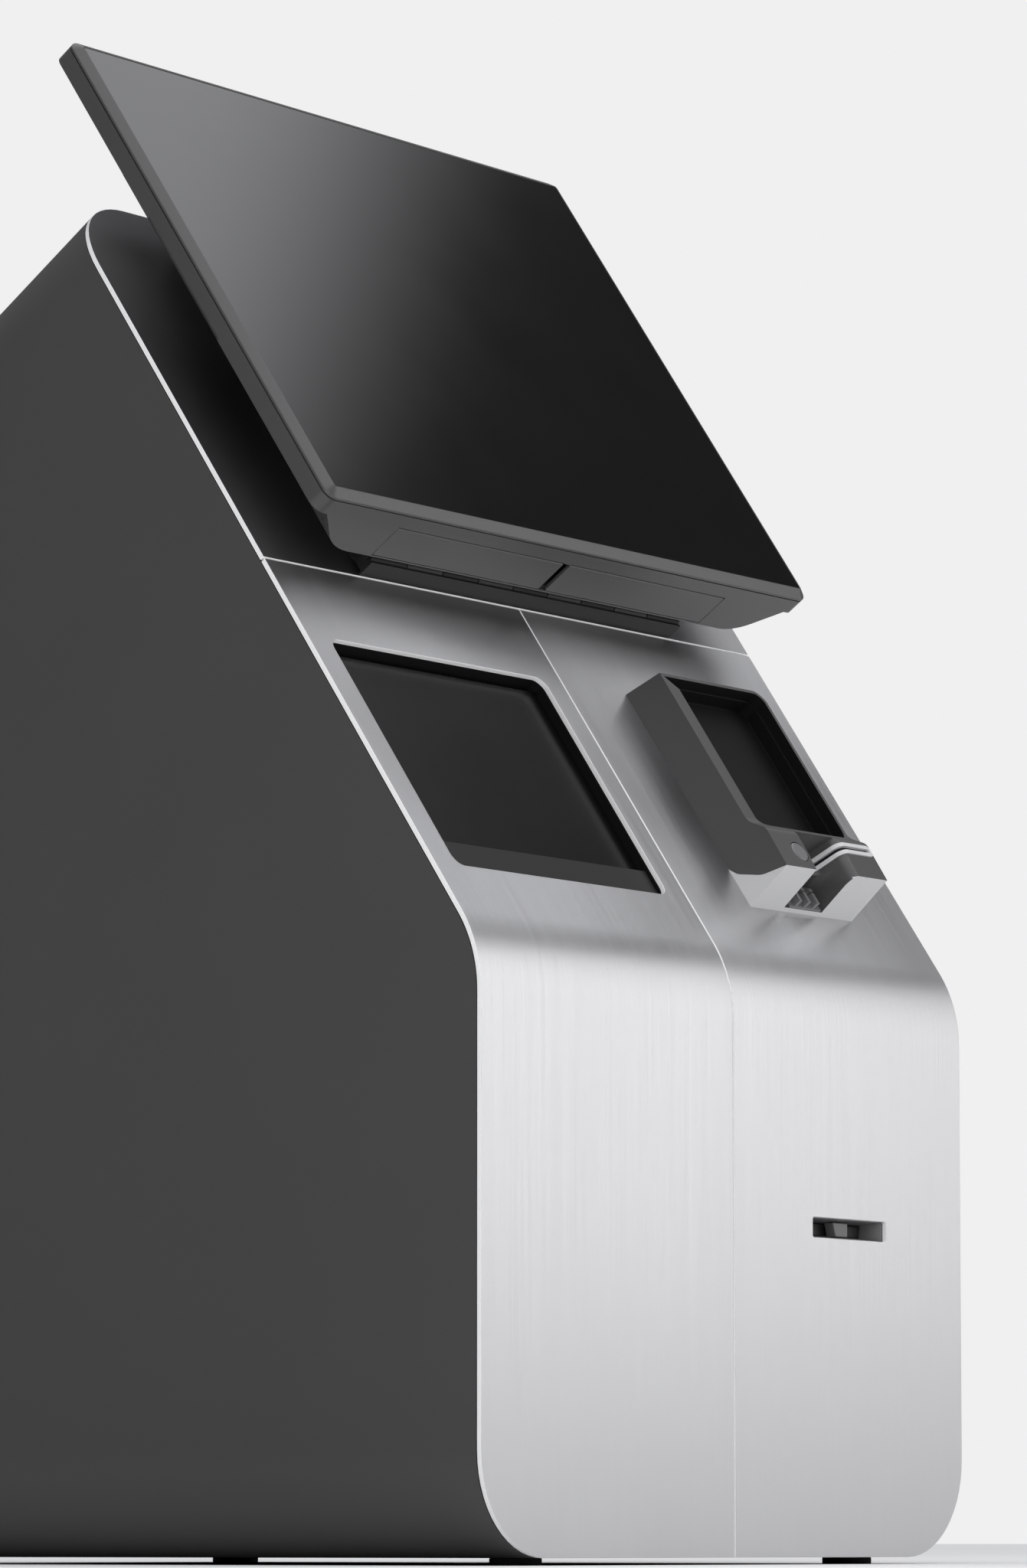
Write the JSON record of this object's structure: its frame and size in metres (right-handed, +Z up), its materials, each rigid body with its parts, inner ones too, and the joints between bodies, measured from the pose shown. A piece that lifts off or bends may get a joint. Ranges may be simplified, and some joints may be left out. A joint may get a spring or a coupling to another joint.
{
  "type": "touchscreen kiosk",
  "caption": "Self-service kiosk: charcoal cabinet, bent brushed front split into two service drawers, tilting display, card cradle, document bin, note slot and rear door.",
  "frame": {"origin": "centre of the footprint, on the floor under the feet", "axes": "+X to the right seen from the front, front faces -Y, +Z up"},
  "size_m": [0.42, 0.4916, 0.7898],
  "materials": {
    "shell_paint": "satin charcoal powder coat",
    "brushed_plate": "fine vertical brushing, clear satin",
    "zinc_sheet": "zinc plated sheet",
    "foot_rubber": "matt black",
    "dark_plastic": "satin dark grey, fine moulded texture",
    "black_plastic": "matt black",
    "gloss_black": "gloss black",
    "light_plastic": "satin light grey",
    "screen_glass": "black backed cover glass",
    "casing_grey": "light grey moulded case, satin",
    "cast_case": "anodised dark aluminium",
    "green_board": "solder mask",
    "lock_metal": "bright plated"
  },
  "bodies": {
    "cabinet": {"cabinet_shell": "shell_paint", "base_plate": "zinc_sheet", "feet": "foot_rubber", "centre_wall": "zinc_sheet", "equipment_shelf": "zinc_sheet", "upper_plate": "brushed_plate", "left_rail_outers": "zinc_sheet", "right_rail_outers": "zinc_sheet", "display_mount": "dark_plastic", "hinge_pin": "lock_metal", "rear_panel": "shell_paint", "fan_housing": "black_plastic", "power_inlet": "black_plastic", "control_computer": "cast_case", "power_supply": "zinc_sheet", "panel_screws": "lock_metal"},
    "left_drawer": {"left_front_plate": "brushed_plate", "left_front_ribs": "zinc_sheet", "left_tray": "zinc_sheet", "left_rail_inners": "zinc_sheet", "bin_liner": "black_plastic", "bin_ledge": "dark_plastic", "receipt_printer": "casing_grey", "document_chute": "black_plastic"},
    "left_slides": {"left_rail_middles": "zinc_sheet"},
    "bin_flap": {"bin_flap": "gloss_black"},
    "right_drawer": {"right_front_plate": "brushed_plate", "right_front_ribs": "zinc_sheet", "right_tray": "zinc_sheet", "right_rail_inners": "zinc_sheet", "slot_bezel": "dark_plastic", "note_unit": "casing_grey", "cash_box": "casing_grey", "cradle_shell": "dark_plastic", "cradle_nose": "light_plastic", "cradle_liner": "black_plastic", "card_slot_trim": "light_plastic", "card_reader": "black_plastic", "card_guide": "light_plastic"},
    "right_slides": {"right_rail_middles": "zinc_sheet"},
    "slot_shutter": {"slot_shutter": "black_plastic"},
    "cradle_button": {"cradle_button": "dark_plastic"},
    "display": {"display_bezel": "dark_plastic", "display_glass": "screen_glass", "display_panel": "black_plastic", "display_housing": "dark_plastic", "display_board": "green_board", "hinge_leaf": "zinc_sheet"},
    "left_cover": {"left_chin_cover": "dark_plastic"},
    "right_cover": {"right_chin_cover": "dark_plastic"},
    "rear_door": {"rear_door": "shell_paint", "lock_barrel": "lock_metal"},
    "lock_cam": {"lock_cam": "lock_metal"},
    "fan_rotor": {"fan_rotor": "black_plastic"}
  },
  "joints": [
    {"name": "left_drawer_slide", "type": "slide", "parent": "cabinet", "child": "left_drawer", "axis": [0, -1, 0], "range_m": [0, 0.3]},
    {"name": "left_slides_slide", "type": "slide", "parent": "cabinet", "child": "left_slides", "axis": [0, -1, 0], "range_m": [0, 0.15]},
    {"name": "right_drawer_slide", "type": "slide", "parent": "cabinet", "child": "right_drawer", "axis": [0, -1, 0], "range_m": [0, 0.3]},
    {"name": "right_slides_slide", "type": "slide", "parent": "cabinet", "child": "right_slides", "axis": [0, -1, 0], "range_m": [0, 0.15]},
    {"name": "bin_flap_swing", "type": "hinge", "parent": "left_drawer", "child": "bin_flap", "pos_m": [-0.1045, -0.13044, 0.45384], "axis": [1, 0, 0], "range_deg": [0, 50], "stiffness_Nm_per_rad": 0.06, "springref_deg": -57.3},
    {"name": "slot_shutter_swing", "type": "hinge", "parent": "right_drawer", "child": "slot_shutter", "pos_m": [0.103, -0.2318, 0.1772], "axis": [1, 0, 0], "range_deg": [0, 80]},
    {"name": "cradle_button_press", "type": "slide", "parent": "right_drawer", "child": "cradle_button", "axis": [0, 0.8271, -0.5621], "range_m": [0, 0.0015], "stiffness_N_per_m": 600, "springref_m": -0.002},
    {"name": "display_tilt", "type": "hinge", "parent": "cabinet", "child": "display", "pos_m": [0, -0.11182, 0.51325], "axis": [1, 0, 0], "range_deg": [0, 30]},
    {"name": "left_cover_swing", "type": "hinge", "parent": "display", "child": "left_cover", "pos_m": [-0.0725, -0.1381, 0.52422], "axis": [-1, 0, 0], "range_deg": [0, 70]},
    {"name": "right_cover_swing", "type": "hinge", "parent": "display", "child": "right_cover", "pos_m": [0.0725, -0.1381, 0.52422], "axis": [-1, 0, 0], "range_deg": [0, 70]},
    {"name": "rear_door_swing", "type": "hinge", "parent": "cabinet", "child": "rear_door", "pos_m": [0.146, 0.2387, 0.2796], "axis": [0, 0, -1], "range_deg": [0, 90]},
    {"name": "lock_cam_turn", "type": "hinge", "parent": "rear_door", "child": "lock_cam", "pos_m": [-0.13, 0.2382, 0.2796], "axis": [0, -1, 0], "range_deg": [0, 90]},
    {"name": "fan_spin", "type": "hinge", "parent": "cabinet", "child": "fan_rotor", "pos_m": [0, 0.2302, 0.5146], "axis": [0, 1, 0], "continuous": true}
  ],
  "couplings": [
    {"joint": "left_slides_slide", "follows": "left_drawer_slide", "ratio": 0.5},
    {"joint": "right_slides_slide", "follows": "right_drawer_slide", "ratio": 0.5}
  ]
}
